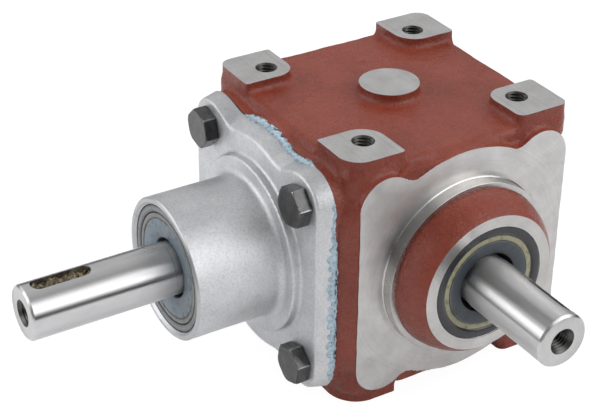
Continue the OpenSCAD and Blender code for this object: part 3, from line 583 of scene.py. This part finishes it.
aluminium, tree, bsdf = new_finish("blasted_aluminium", 1.0)
cloud = noise(tree, 85, 4, 0.6)
grain = noise(tree, 1300, 3, 0.65)
tone = shades(tree, cloud, (0.28, 0.62, 0.626, 0.636), (0.50, 0.70, 0.706, 0.716),
              (0.74, 0.78, 0.784, 0.79))
tone = mixed(tree, 1.0, tone, shades(tree, grain, (0.36, 0.86), (0.56, 1.0)), "MULTIPLY")
scuff = rise(tree, noise(tree, 420, 4, 0.7), 0.66, 0.76)
tone = mixed(tree, times(tree, scuff, 0.35), tone, (0.45, 0.45, 0.46, 1))
dress(tree, bsdf, tone, shades(tree, cloud, (0.25, 0.50), (0.75, 0.62)),
      relief(tree, grain, 0.00013, relief(tree, noise(tree, 380, 3), 0.00018)))
turned_aluminium = turned("turned_aluminium", "x", (0.50, 0.504, 0.512), (0.62, 0.622, 0.628),
                          (0.40, 0.50))

points, faces = net(cover_form, (-95.5, -46.0, -48.0), (-36.0, 46.0, 48.0), 0.65)
cover = outward(mesh_piece("cast_cover", from_crossing(points), faces, [aluminium]))
SPIGOT, COVER_BORE, COVER_SHOULDER, COVER_GROOVE = 34.98, 23.5, 20.5, 24.6
below = [(SPIGOT, 30), (70, 30), (70, COVER), (SPIGOT, COVER)]
spigot_end = [(0, 30), (36, 30), (36, 39.0), (SPIGOT, 39.0), (34.2, 38.0), (0, 38.0)]
nose_face = [(0, NOSE_END), (NOSE - 0.55, NOSE_END), (28, NOSE_END - 2.3), (28, 99), (0, 99)]
bore = [(0, 30), (COVER_BORE, 30), (COVER_BORE, 55.35), (COVER_SHOULDER, 55.35),
        (COVER_SHOULDER, 69.35), (COVER_BORE, 69.35), (COVER_BORE, 83.35), (COVER_GROOVE, 83.35),
        (COVER_GROOVE, 85.1), (COVER_BORE, 85.1), (COVER_BORE, 92.1), (24.6, 93.2), (24.6, 99),
        (0, 99)]
tools = [outward(mesh_piece(name, *lathe(profile, "x", 192), [turned_aluminium]))
         for name, profile in (("joint", below), ("spigot", spigot_end), ("nose_face", nose_face),
                               ("bores", bore))]
for a in HOLES:
    for b in HOLES:
        tools.append(drill("bolt_way", (-40, a, b), (-62, a, b), turned_aluminium, 4.4))
cut(cover, tools)
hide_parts("side_cover")
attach(cover, "housing_body")

# Sealant
# A pale blue silicone sealant fills the joint of the cover. Its thin layer is the CAD node, and
# this bead is what the bolts squeezed out: ragged along the top, wiped flat down the side.


def bead_form(x, y, z):
    h = -x
    edge = lobed(y, z, JOINT_VALLEY)
    lumps = np.sin(y * 1.15 + 1.7 * np.sin(z * 0.53)) * np.sin(z * 1.05 + 1.3 * np.sin(y * 0.61))
    ragged = np.sin(y * 3.1 + z * 0.9 + 2 * np.sin(h * 1.3)) * np.sin(z * 2.7 - y * 0.6 + 1.9 * h)
    fade = np.clip((24.0 - np.abs(y + 7)) / 4.5, 0, 1) * np.clip((np.abs(z) - 20) / 5, 0, 1)
    thickness = 0.15 + 0.72 * fade + (0.2 * lumps + 0.22 * ragged) * fade
    ropy = np.hypot(edge - 0.2, (h - 50.2) / 1.6) - thickness
    swept = np.clip((32 - np.abs(z + 6)) / 12, 0, 1)
    wall = edge + COVER_DRAFT * np.maximum(h - COVER, 0) - 0.58
    smear = np.hypot(wall / 0.30, (h - 50.7 - 0.5 * lumps) / (0.7 + 1.2 * swept))
    smear = smear - (0.92 + 0.14 * lumps + 0.06 * ragged)
    return np.minimum(np.where(fade > 0, ropy, 1.0), np.where(np.abs(z) < 36, smear, 1.0))


sealant_blue, tree, bsdf = new_finish("cured_sealant")
cloud = noise(tree, 700, 4, 0.65)
tone = shades(tree, cloud, (0.30, 0.120, 0.180, 0.230), (0.44, 0.320, 0.430, 0.510),
              (0.68, 0.540, 0.660, 0.735))
# Near-black patches on the sealant along the joint are painted shade, standing in for the shaded
# pockets between the bead and the casting
painted_gap_shade = rise(tree, noise(tree, 420, 4, 0.7, (2.0, 1, 1)), 0.50, 0.56)
along = add(tree, "SeparateXYZ", Vector=add(tree, "TexCoord").outputs["Object"]).outputs["X"]
at_joint = rise(tree, along, -0.0506, -0.0498)
tone = mixed(tree, times(tree, painted_gap_shade, at_joint), tone, (0.012, 0.022, 0.028, 1))
dress(tree, bsdf, tone, shades(tree, cloud, (0.30, 0.36), (0.70, 0.55)),
      relief(tree, cloud, 0.0003))
points, faces = net(bead_form, (-54.5, -46.5, -49.0), (-48.2, 46.5, 49.0), 0.42)
bead = outward(mesh_piece("sealant_bead", from_crossing(points), faces, [sealant_blue], 60.0))
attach(bead, "housing_body")


def coat(node, finish):
    node.data.materials.clear()
    node.data.materials.append(finish)


coat(nodes["cover_sealant"], sealant_blue)

# Cover bolts
# Four M8 hexagon bolts hold the cover, cold-formed and black-oxided, with a plain chamfered
# head. Each came to rest at its own turn.
BOLT_FLATS, BOLT_CORNERS, BOLT_HEAD = 6.7, 6.95, 5.3
BOLT_TURNS = (30, 38, 4, 27)
# The three pairs of flats, at 30, 90 and 150 degrees
FLAT_TURNS = (0.5236, 1.5708, 2.618)


def head_form(p, q, h):
    flats = np.maximum.reduce([np.abs(p * math.cos(t) + q * math.sin(t)) for t in FLAT_TURNS])
    cone = (np.hypot(p, q) - BOLT_CORNERS) * 0.5 + (h - BOLT_HEAD) * 0.866
    head = rounded([flats - BOLT_FLATS, h - BOLT_HEAD, cone, 0.35 - h], 0.14)
    washer = rounded([np.hypot(p, q) - 6.1, h - 0.8, -0.6 - h], 0.1)
    return np.minimum(head, washer)


def bolt_place(i):
    """Height and side of a bolt from the shaft's axis, and the turn of its head."""
    spread = math.radians(45 + 90 * i)
    reach = EAR_AT * math.sqrt(2)
    return (reach * math.cos(spread), reach * math.sin(spread),
            spread + math.radians(BOLT_TURNS[i]))


def oxided(name, dark, light, rough):
    """Black oxide on steel, a little rubbed."""
    finish, tree, bsdf = new_finish(name, 1.0)
    cloud = noise(tree, 330, 4, 0.62)
    tone = shades(tree, cloud, (0.28, dark), (0.74, light))
    rub = rise(tree, noise(tree, 900, 3, 0.6), 0.68, 0.76)
    dress(tree, bsdf, mixed(tree, times(tree, rub, 0.3), tone, (0.30, 0.29, 0.27, 1)),
          shades(tree, cloud, (0.25, rough[0]), (0.75, rough[1])),
          relief(tree, noise(tree, 1400, 3), 0.00002))
    return finish


black_oxide = oxided("black_oxide", 0.060, 0.135, (0.20, 0.30))
rubbed_face_and_sheen = oxided("rubbed_face_and_sheen", 0.085, 0.165, (0.26, 0.36))
worn_corner_and_highlight = oxided("worn_corner_and_highlight", 0.180, 0.340, (0.24, 0.34))
head_points, head_faces = net(head_form, (-8.2, -8.2, -1.2), (8.2, 8.2, 6.0), 0.27)
points, faces = [], []
for i in range(len(BOLT_TURNS)):
    bolt_up, bolt_out, turn = bolt_place(i)
    middle = Vector((0, bolt_out, bolt_up))
    for p, q, h in head_points:
        up = p * math.cos(turn) - q * math.sin(turn)
        out = p * math.sin(turn) + q * math.cos(turn)
        points.append(middle + Vector((-FLANGE - h, out, up)))
    faces += [[n + len(points) - len(head_points) for n in face] for face in head_faces]
    shank, sides = thread(middle + Vector((-FLANGE + 19.5, 0, 0)),
                          middle + Vector((-FLANGE - 0.3, 0, 0)), 3.97)
    faces += [[n + len(points) for n in face] for face in sides]
    points += shank
bolts = outward(mesh_piece("hexagon_bolts", from_crossing(points), faces,
                           [black_oxide, rubbed_face_and_sheen, worn_corner_and_highlight], 22.0))
# End faces: lighter oxide, rubbed and painted sheen. Six corners: lighter still, worn and painted
# highlight
for face in bolts.data.polygons:
    up, out = (face.center[2] - AXIS_Z) * 1000, face.center[1] * 1000
    i = (1 if out > 0 else 3) - (1 if (up > 0) == (out > 0) else 0)
    bolt_up, bolt_out, turn = bolt_place(i)
    up -= bolt_up
    out -= bolt_out
    flats = sorted(abs(up * math.cos(turn + t) + out * math.sin(turn + t)) for t in FLAT_TURNS)
    if face.normal[0] < -0.95 and face.center[0] < -0.060:
        face.material_index = 1
    elif flats[2] - flats[1] < 0.32 and flats[2] > 6.3:
        face.material_index = 2
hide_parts("cover_bolts")
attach(bolts, "housing_body")

# Input shaft
# A 20 mm shaft of carbon steel, turned and ground, with a milled keyway on top and a tapped
# centre hole in its end. Old grease and grit fill the keyway.
SHAFT, SEAL_TRACK, TRACK_WIDTH, INPUT_END = 10.0, 9.75, 8, 146.3
KEY_WIDTH, KEY_FLOOR = 6.0, 6.5
INPUT_KEYWAY = (120.8, 142.8)


def ground(name, axis):
    """Ground steel: bright, with fine rings along the shaft and a few faint handling marks."""
    finish, tree, bsdf = new_finish(name, 1.0)
    here = add(tree, "SeparateXYZ", Vector=add(tree, "TexCoord").outputs["Object"])
    lines = rings_of(tree, here.outputs[axis.upper()], 3200)
    stretch = (0.35, 1, 1) if axis == "x" else (1, 0.35, 1)
    cloud = noise(tree, 190, 4, 0.6, stretch)
    round_it = add(tree, "Tangent", {"direction_type": "RADIAL", "axis": axis.upper()})
    tree.links.new(round_it.outputs[0], bsdf.inputs["Tangent"])
    bsdf.inputs["Anisotropic"].default_value = 1.0
    bsdf.inputs["Anisotropic Rotation"].default_value = 0.25
    tone = shades(tree, cloud, (0.30, 0.585, 0.582, 0.580), (0.70, 0.675, 0.674, 0.676))
    tone = mixed(tree, 1.0, tone, shades(tree, lines, (0.30, 0.94), (0.62, 1.0)), "MULTIPLY")
    mark = rise(tree, noise(tree, 620, 4, 0.7), 0.68, 0.76)
    dress(tree, bsdf, mixed(tree, times(tree, mark, 0.3), tone, (0.33, 0.31, 0.28, 1)),
          shades(tree, cloud, (0.28, 0.27), (0.72, 0.32)), relief(tree, lines, 0.0000020))
    return finish


def key_slot(way, out, low, high, finish):
    """A keyway cutter with round ends, along the way, from the floor to clear of the shaft."""
    way, out = Vector(way), Vector(out)
    aside = way.cross(out)
    bend = np.linspace(-math.pi / 2, math.pi / 2, 17)
    r = KEY_WIDTH / 2
    outline = [(high - r + r * math.cos(t), r * math.sin(t)) for t in bend]
    outline += [(low + r - r * math.cos(t), -r * math.sin(t)) for t in bend]
    count = len(outline)
    points = [way * h + aside * w + out * up for up in (KEY_FLOOR, SHAFT + 1.5) for h, w in outline]
    faces = [(i, (i + 1) % count, count + (i + 1) % count, count + i) for i in range(count)]
    faces += [tuple(range(count)), tuple(range(count, 2 * count))]
    return outward(mesh_piece("outer_keyway", from_crossing(points), faces, [finish]))


def centre_hole(way, end):
    """The tapped hole in a shaft's end, with its countersunk mouth."""
    way = Vector(way)
    return [tap("end_thread", way * (end - 18), way * (end + 2), tapped),
            drill("end_mouth", way * (end - 1.5), way * (end + 0.2), tapped, 3.3, 5.1)]


def free_side(track, end):
    """Profile of a shaft's free side: the ground track of its seal, then the chamfered end."""
    step = SHAFT - SEAL_TRACK
    return [(SHAFT, track), (SEAL_TRACK, track + step), (SEAL_TRACK, track + TRACK_WIDTH - step),
            (SHAFT, track + TRACK_WIDTH), (SHAFT, end - 0.8), (SHAFT - 0.1, end - 0.64),
            (SHAFT - 0.66, end - 0.08), (SHAFT - 0.8, end), (0, end)]


def shaft_piece(name, profile, axis, finish, end_finish, tools):
    """A turned shaft with its cuts. The faces square to the axis take the end finish."""
    piece = outward(mesh_piece(name, *lathe(profile, axis, 160), [finish, end_finish]))
    way = 0 if axis == "x" else 1
    for face in piece.data.polygons:
        if abs(face.normal[way]) > 0.9:
            face.material_index = 1
    return cut(piece, tools)


input_steel = ground("ground_steel_input", "x")
input_turned = turned("turned_steel_input", "x", (0.56, 0.557, 0.55), (0.68, 0.678, 0.672),
                      (0.26, 0.36))
keyway_steel, tree, bsdf = new_finish("milled_steel", 1.0)
cloud = noise(tree, 420, 4, 0.6)
dress(tree, bsdf, shades(tree, cloud, (0.30, 0.22, 0.215, 0.205), (0.70, 0.46, 0.455, 0.445)),
      shades(tree, cloud, (0.30, 0.30), (0.70, 0.44)), relief(tree, noise(tree, 1100, 3), 0.00004))

profile = [(0, 15.5), (SHAFT - 1, 15.5), (SHAFT, 16.5)] + free_side(85.1, INPUT_END)
tools = [key_slot((-1, 0, 0), (0, 0, 1), *INPUT_KEYWAY, keyway_steel)]
input_shaft = shaft_piece("ground_input_shaft", profile, "x", input_steel, input_turned,
                          tools + centre_hole((-1, 0, 0), INPUT_END))
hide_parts("input_shaft")
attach(input_shaft, "input")


def grease_form(x, y, z):
    h = -x
    slot = np.hypot(np.maximum(np.abs(h - sum(INPUT_KEYWAY) / 2) - 8.0, 0), y) - 2.96
    lumps = 0.55 * np.sin(h * 0.9 + 1.4 * np.sin(y * 1.2)) + 0.35 * np.sin(h * 2.3 + y * 1.9)
    return rounded([slot, z - 8.1 - lumps - 0.25 * np.sin(y * 2.6 + h), 6.3 - z], 0.12)


grease, tree, bsdf = new_finish("old_grease")
cloud = noise(tree, 620, 5, 0.7)
tone = shades(tree, cloud, (0.34, 0.012, 0.011, 0.009), (0.47, 0.060, 0.048, 0.026),
              (0.54, 0.200, 0.158, 0.084), (0.66, 0.330, 0.275, 0.165))
dress(tree, bsdf, tone, shades(tree, cloud, (0.35, 0.22), (0.60, 0.50)),
      relief(tree, cloud, 0.0006))
points, faces = net(grease_form, (-143.4, -3.6, 5.8), (-120.2, 3.6, 10.0), 0.3)
filling = outward(mesh_piece("keyway_grease", from_crossing(points), faces, [grease], 60.0))
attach(filling, "input")

# Output shaft
# The second 20 mm shaft, made in the same way. Its keyway is clean, and stands at its own turn.
OUTPUT_END, CROWN_SEAT = 105.3, 12.0
OUTPUT_KEYWAY = (79.8, 101.8)
output_steel = ground("ground_steel_output", "y")
output_turned = turned("turned_steel_output", "y", (0.52, 0.515, 0.505), (0.64, 0.636, 0.628),
                       (0.26, 0.36))
profile = [(0, -45.2), (SHAFT - 1, -45.2), (SHAFT, -44.2), (SHAFT, -14.0), (CROWN_SEAT, -14.0),
           (CROWN_SEAT, 43.45), (SHAFT, 43.45)] + free_side(57.2, OUTPUT_END)
key_turn = math.radians(52)
tools = [key_slot((0, -1, 0), (math.cos(key_turn), 0, math.sin(key_turn)), *OUTPUT_KEYWAY,
                  keyway_steel)]
output_shaft = shaft_piece("ground_output_shaft", profile, "y", output_steel, output_turned,
                           tools + centre_hole((0, -1, 0), OUTPUT_END))
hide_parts("output_shaft")
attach(output_shaft, "output")

# Shaft seals
# Rotary shaft seals, pressed in flush: a steel case coated in rubber, a bare band of it, and the
# moulded disc whose lip runs on the shaft. The input seal is blue-grey, the output one black.


def by_radius(tree, axis, wobble, *stops):
    """Colours by the distance from a shaft's axis: each stop is (millimetres, red, green, blue)."""
    near, far = 9, 25
    wave = times(tree, plus(tree, noise(tree, 130, 3, 0.6), -0.5), wobble)
    share = add(tree, "MapRange", Value=plus(tree, off_axis(tree, axis), wave),
                From_Min=near / 1000, From_Max=far / 1000).outputs[0]
    return shades(tree, share, *[((stop[0] - near) / (far - near), *stop[1:]) for stop in stops])


def seal_finish(name, axis, wobble, colours, rough):
    """Moulded rubber, with smudges. Its colour and roughness go by the distance from the axis."""
    finish, tree, bsdf = new_finish(name)
    smudge = rise(tree, noise(tree, 330, 4, 0.7), 0.50, 0.62)
    tone = mixed(tree, times(tree, smudge, 0.45), by_radius(tree, axis, wobble, *colours),
                 (0.02, 0.022, 0.025, 1))
    lines = rings_of(tree, off_axis(tree, axis), 1500)
    dress(tree, bsdf, tone, by_radius(tree, axis, wobble, *rough),
          relief(tree, lines, 0.00004, relief(tree, noise(tree, 900, 3), 0.00006)))
    return finish


# Inside 10.8 mm the blue-grey seal is painted near-black: painted shade for the gap between its lip
# and the shaft
seal_blue = seal_finish("blue_grey_seal", "x", 0.0003, [
    (9.8, 0.006, 0.007, 0.008), (10.8, 0.010, 0.012, 0.014), (11.1, 0.110, 0.150, 0.185),
    (15.6, 0.165, 0.216, 0.256), (18.2, 0.185, 0.234, 0.270), (18.45, 0.030, 0.032, 0.033),
    (18.75, 0.200, 0.196, 0.182), (20.2, 0.235, 0.232, 0.220), (20.4, 0.020, 0.021, 0.022),
    (20.8, 0.100, 0.108, 0.114), (22.0, 0.240, 0.252, 0.262), (23.2, 0.085, 0.092, 0.098),
    (23.4, 0.012, 0.013, 0.014)],
    [(10.0, 0.5, 0.5, 0.5), (12.0, 0.34, 0.34, 0.34), (18.6, 0.42, 0.42, 0.42),
     (23.4, 0.30, 0.30, 0.30)])
profile = [(23.46, 91.5), (23.1, 92.05), (22.4, 92.1), (21.2, 92.0), (20.75, 91.8), (20.5, 91.1),
           (20.25, 91.75), (19.9, 91.85), (18.8, 91.8), (18.55, 91.5), (18.35, 91.45),
           (18.1, 91.7), (15.0, 91.5), (11.9, 91.15), (11.2, 90.9), (10.9, 90.3), (10.6, 88.9),
           (10.1, 88.3), (9.81, 87.6), (10.3, 85.9), (12.0, 86.0), (12.1, 89.6), (21.5, 89.6),
           (21.5, 85.1), (23.1, 85.1), (23.46, 85.5)]
input_seal = outward(mesh_piece("input_shaft_seal", *lathe(profile, "x", 160), [seal_blue], 38.0))
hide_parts("input_seal")
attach(input_seal, "housing_body")

seal_black = seal_finish("black_seal", "y", 0.0007, [
    (9.8, 0.003, 0.003, 0.004), (11.3, 0.006, 0.006, 0.007), (11.7, 0.026, 0.034, 0.042),
    (16.0, 0.044, 0.057, 0.070), (16.2, 0.150, 0.165, 0.170), (16.45, 0.030, 0.034, 0.036),
    (16.7, 0.290, 0.274, 0.170), (18.3, 0.350, 0.328, 0.205), (18.6, 0.090, 0.080, 0.052),
    (18.85, 0.014, 0.015, 0.017), (21.6, 0.026, 0.027, 0.030), (22.1, 0.008, 0.008, 0.009)],
    [(10.0, 0.5, 0.5, 0.5), (12.0, 0.40, 0.40, 0.40), (16.2, 0.45, 0.45, 0.45),
     (18.4, 0.45, 0.45, 0.45), (18.8, 0.20, 0.20, 0.20), (22.0, 0.26, 0.26, 0.26)])
profile = [(20.96, 63.8), (22.12, 64.78), (22.0, 65.0), (21.4, 65.15), (19.8, 65.1), (19.1, 65.0),
           (18.7, 64.6), (16.7, 64.6), (16.5, 64.4), (16.2, 64.75), (15.8, 64.8), (12.2, 64.6),
           (11.5, 64.3), (11.2, 63.0), (10.7, 60.9), (10.1, 60.0), (9.81, 59.2), (10.3, 57.9),
           (12.0, 58.0), (12.1, 61.6), (19.0, 61.6), (19.0, 57.2), (20.6, 57.2), (20.96, 57.6)]
output_seal = outward(mesh_piece("output_shaft_seal", *lathe(profile, "y", 160), [seal_black],
                                 38.0))
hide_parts("output_seal")
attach(output_seal, "housing_body")

# Rear cap
# A rubber-coated steel cap, pressed in behind the output shaft's rear bearing. Its face is
# dished, with a stiffening ring.
cap_black, tree, bsdf = new_finish("cap_rubber")
cloud = noise(tree, 220, 4, 0.6)
lines = rings_of(tree, off_axis(tree, "y"), 1500)
dress(tree, bsdf, shades(tree, cloud, (0.28, 0.014, 0.014, 0.015), (0.72, 0.034, 0.034, 0.036)),
      shades(tree, cloud, (0.28, 0.34), (0.72, 0.52)),
      relief(tree, lines, 0.00003, relief(tree, noise(tree, 900, 3), 0.00006)))
profile = [(0, -47.4), (9.0, -47.4), (10.0, -47.9), (12.5, -47.9), (13.4, -47.3), (17.6, -47.3),
           (18.6, -48.0), (20.2, -48.1), (20.75, -47.9), (20.98, -47.3), (20.98, -44.75),
           (19.0, -44.75), (19.0, -45.7), (0, -45.7)]
cap = outward(mesh_piece("pressed_cap", *lathe(profile, "y", 160), [cap_black], 38.0))
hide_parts("rear_cap")
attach(cap, "housing_body")

# Gears, bearings and small parts
# The closed housing hides these. They keep their CAD shape: hardened and phosphated mitre gears,
# polished bearing steel, brass cages, cold-drawn keys and spacers, and oiled spring steel circlips.


def worked_metal(name, dark, light, rough, depth):
    """Bare or treated steel or brass, a little cloudy, with a fine even grain."""
    finish, tree, bsdf = new_finish(name, 1.0)
    cloud = noise(tree, 160, 4, 0.6)
    dress(tree, bsdf, shades(tree, cloud, (0.28, *dark), (0.72, *light)),
          shades(tree, cloud, (0.25, rough[0]), (0.75, rough[1])),
          relief(tree, noise(tree, 1100, 3), depth))
    return finish


drawn_steel = worked_metal("drawn_steel", (0.44, 0.44, 0.44), (0.58, 0.58, 0.58),
                           (0.22, 0.34), 0.00002)
inner_finishes = {
    "gear": worked_metal("gear_steel", (0.22, 0.22, 0.225), (0.38, 0.38, 0.385),
                         (0.24, 0.38), 0.00003),
    "key": drawn_steel,
    "spacer": drawn_steel,
    "circlip": worked_metal("spring_steel", (0.06, 0.06, 0.065), (0.13, 0.13, 0.135),
                            (0.26, 0.40), 0.00002),
    "race": worked_metal("bearing_steel", (0.56, 0.57, 0.58), (0.66, 0.67, 0.68),
                         (0.10, 0.18), 0.000004),
    "balls": worked_metal("ball_steel", (0.66, 0.67, 0.68), (0.74, 0.75, 0.76),
                          (0.05, 0.09), 0.000002),
    "cage": worked_metal("cage_brass", (0.46, 0.33, 0.13), (0.60, 0.45, 0.20),
                         (0.24, 0.36), 0.00002),
}
for name, node in nodes.items():
    last = name.split("_")[-1]
    if last in inner_finishes:
        coat(node, inner_finishes[last])

bpy.context.scene.view_settings.view_transform = "Standard"
